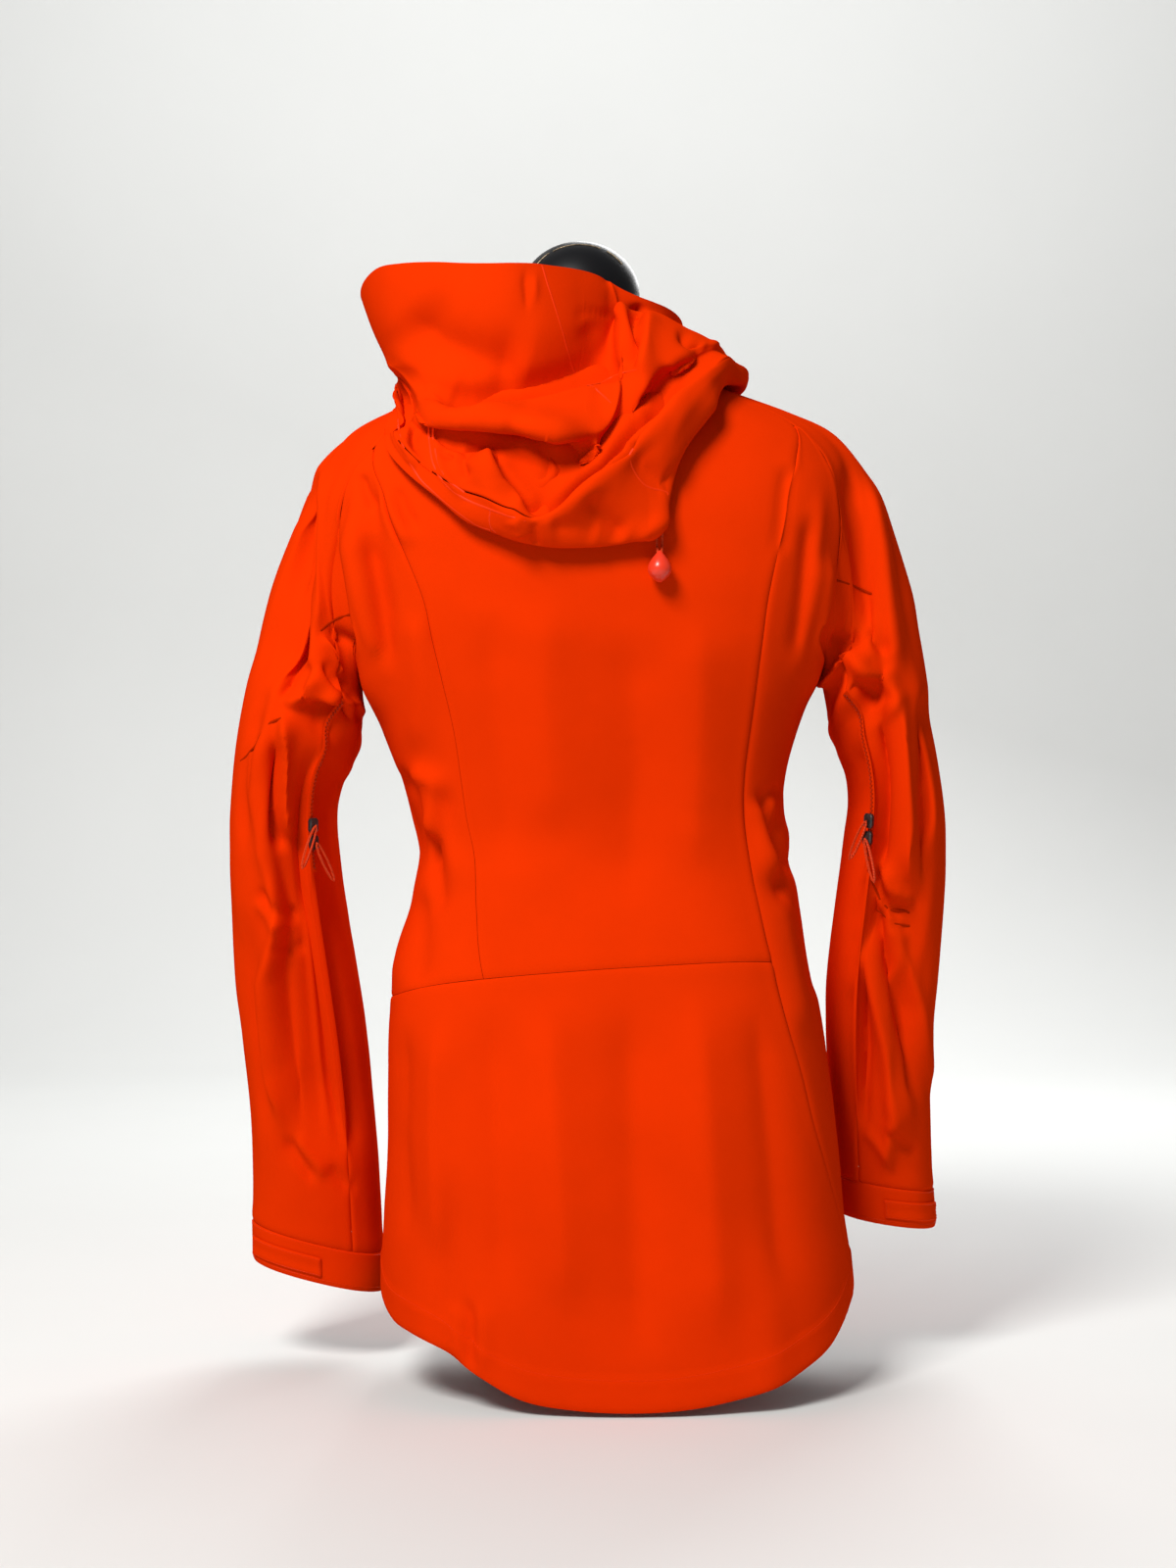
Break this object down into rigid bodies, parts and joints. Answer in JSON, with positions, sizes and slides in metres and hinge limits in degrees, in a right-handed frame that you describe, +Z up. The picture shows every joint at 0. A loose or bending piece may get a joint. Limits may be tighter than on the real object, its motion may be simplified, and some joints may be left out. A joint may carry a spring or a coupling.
{
  "type": "hooded shell jacket on a limbless dress form",
  "caption": "Long hooded shell jacket, closed and hanging empty in its sleeves, standing on a limbless dress form with a domed neck cap and a round base.",
  "frame": {"origin": "on the underside of the round base, where the part stands", "axes": "+Z up; the back of the garment faces -Y and its front +Y; +X is the wearer's right"},
  "size_m": [0.5614, 0.286, 0.8866],
  "materials": {
    "shell_cloth": "matte woven shell cloth with a soft sheen",
    "zip_tape": "coated zip tape",
    "cord_trim": "thin braided cord",
    "slider_metal": "dark painted metal",
    "toggle_gloss": "glossy moulded plastic",
    "form_cover": "black stretched cover",
    "form_gloss": "black gloss",
    "pole_steel": "brushed"
  },
  "bodies": {
    "jacket_on_form": {"back_centre": "shell_cloth", "back_lower": "shell_cloth", "back_side_left": "shell_cloth", "back_side_right": "shell_cloth", "front_left": "shell_cloth", "front_right": "shell_cloth", "collar": "shell_cloth", "sleeve_left": "shell_cloth", "sleeve_right": "shell_cloth", "underarm_left": "shell_cloth", "underarm_right": "shell_cloth", "cuff_left": "shell_cloth", "cuff_right": "shell_cloth", "cuff_tab_left": "shell_cloth", "cuff_tab_right": "shell_cloth", "hood_left": "shell_cloth", "hood_right": "shell_cloth", "hood_back": "shell_cloth", "front_zip": "zip_tape", "pit_zip_left": "zip_tape", "pit_zip_right": "zip_tape", "hood_cord_1": "cord_trim", "hood_cord_2": "cord_trim", "front_slider": "slider_metal", "pit_slider_left_1": "slider_metal", "pit_slider_left_2": "slider_metal", "pit_slider_right_1": "slider_metal", "pit_slider_right_2": "slider_metal", "hood_toggle": "toggle_gloss", "form_body": "form_cover", "form_neck_cap": "form_gloss", "form_base": "form_gloss", "form_pole": "pole_steel"},
    "front_pull_body": {"front_pull": "cord_trim"},
    "pit_pull_left_1_body": {"pit_pull_left_1": "cord_trim"},
    "pit_pull_left_2_body": {"pit_pull_left_2": "cord_trim"},
    "pit_pull_right_1_body": {"pit_pull_right_1": "cord_trim"},
    "pit_pull_right_2_body": {"pit_pull_right_2": "cord_trim"}
  },
  "joints": [
    {"name": "front_pull_hinge", "type": "hinge", "parent": "jacket_on_form", "child": "front_pull_body", "pos_m": [0, 0.119, 0.7731], "axis": [1, 0, 0], "range_deg": [0, 120]},
    {"name": "pit_pull_left_1_hinge", "type": "hinge", "parent": "jacket_on_form", "child": "pit_pull_left_1_body", "pos_m": [-0.2086, -0.0365, 0.4259], "axis": [-0.747, -0.662, -0.061], "range_deg": [0, 110]},
    {"name": "pit_pull_left_2_hinge", "type": "hinge", "parent": "jacket_on_form", "child": "pit_pull_left_2_body", "pos_m": [-0.2084, -0.0349, 0.4129], "axis": [-0.7447, -0.6538, -0.134], "range_deg": [0, 110]},
    {"name": "pit_pull_right_1_hinge", "type": "hinge", "parent": "jacket_on_form", "child": "pit_pull_right_1_body", "pos_m": [0.2103, -0.0349, 0.4295], "axis": [-0.7122, 0.6882, 0.138], "range_deg": [0, 110]},
    {"name": "pit_pull_right_2_hinge", "type": "hinge", "parent": "jacket_on_form", "child": "pit_pull_right_2_body", "pos_m": [0.2096, -0.0327, 0.4161], "axis": [-0.7191, 0.6741, 0.169], "range_deg": [0, 110]}
  ]
}
